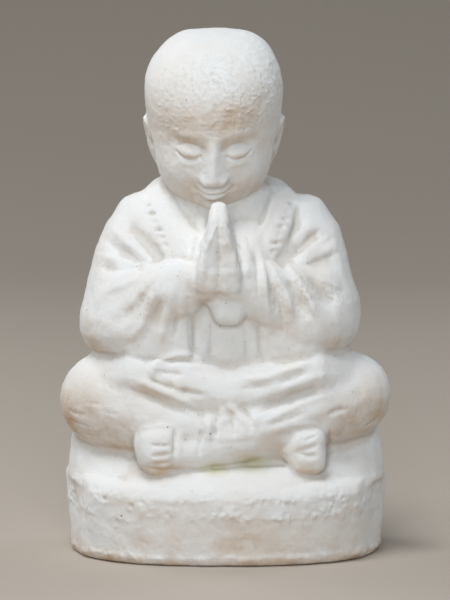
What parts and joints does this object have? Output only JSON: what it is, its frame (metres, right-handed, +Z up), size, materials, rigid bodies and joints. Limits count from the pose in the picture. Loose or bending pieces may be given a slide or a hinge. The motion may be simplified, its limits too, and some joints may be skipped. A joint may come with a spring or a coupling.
{
  "type": "jizo statue",
  "caption": "Small cast-stone statue of a shaven-headed monk sitting cross-legged on an oval base, head bowed and palms pressed together.",
  "frame": {"origin": "middle of the base's flat underside, where the long and short axes of the oval meet", "axes": "+Z up through the figure, -Y the way the figure faces, +X towards the figure's own left hand"},
  "size_m": [0.1878, 0.1319, 0.2968],
  "materials": {
    "cast_stone": "matte"
  },
  "bodies": {
    "root": {"statue": "cast_stone"}
  },
  "joints": []
}
